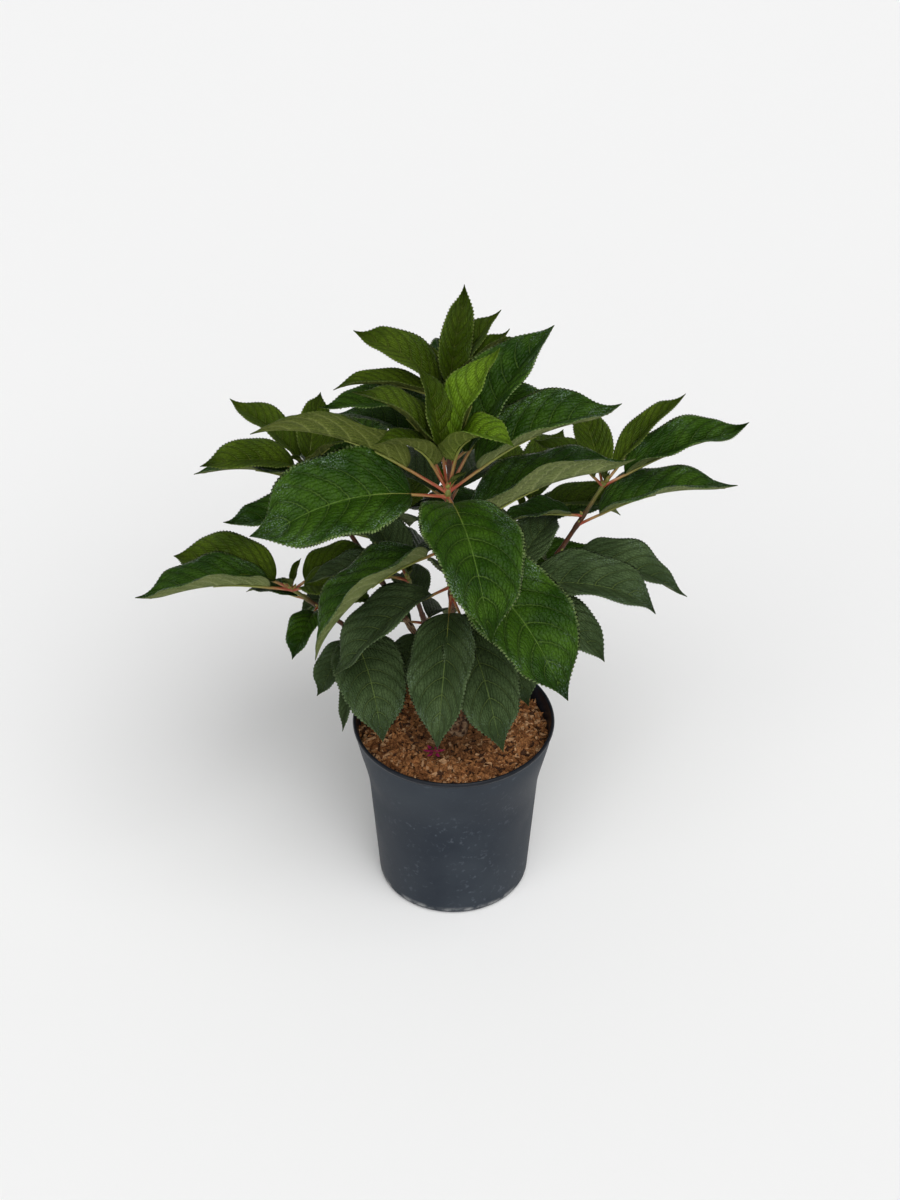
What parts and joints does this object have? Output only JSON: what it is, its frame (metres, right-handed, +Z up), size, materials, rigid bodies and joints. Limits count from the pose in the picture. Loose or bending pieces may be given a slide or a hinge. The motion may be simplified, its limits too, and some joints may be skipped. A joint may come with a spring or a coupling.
{
  "type": "potted hydrangea shrub",
  "caption": "Young hydrangea shrub, not in bloom, with folded oval leaves on short woody stems, growing in a flared plastic nursery pot.",
  "frame": {"origin": "on the pot's axis at the flat underside of the pot", "axes": "+Z up along the pot's axis; -Y is the shrub's front, where its tallest near leader leans; +X is to the right seen from the front"},
  "size_m": [0.4903, 0.3865, 0.531],
  "materials": {
    "pot_plastic": "dark slate moulded plastic with dusty scuffs",
    "growing_medium": "loose bark and coir chips, matt",
    "bark": "smooth reddish-brown young bark",
    "foliage": "deep green leaves, satin, with impressed veins"
  },
  "bodies": {
    "root": {"pot": "pot_plastic", "soil": "growing_medium", "trunk": "bark", "bough_front": "bark", "foliage_front": "foliage", "bough_back": "bark", "foliage_back": "foliage", "bough_left_back": "bark", "foliage_left_back": "foliage", "bough_left": "bark", "foliage_left": "foliage", "bough_right": "bark", "foliage_right": "foliage", "bough_right_front": "bark", "foliage_right_front": "foliage", "bough_inner_left": "bark", "foliage_inner_left": "foliage", "bough_right_back": "bark", "foliage_right_back": "foliage", "bough_left_far": "bark", "foliage_left_far": "foliage"}
  },
  "joints": []
}
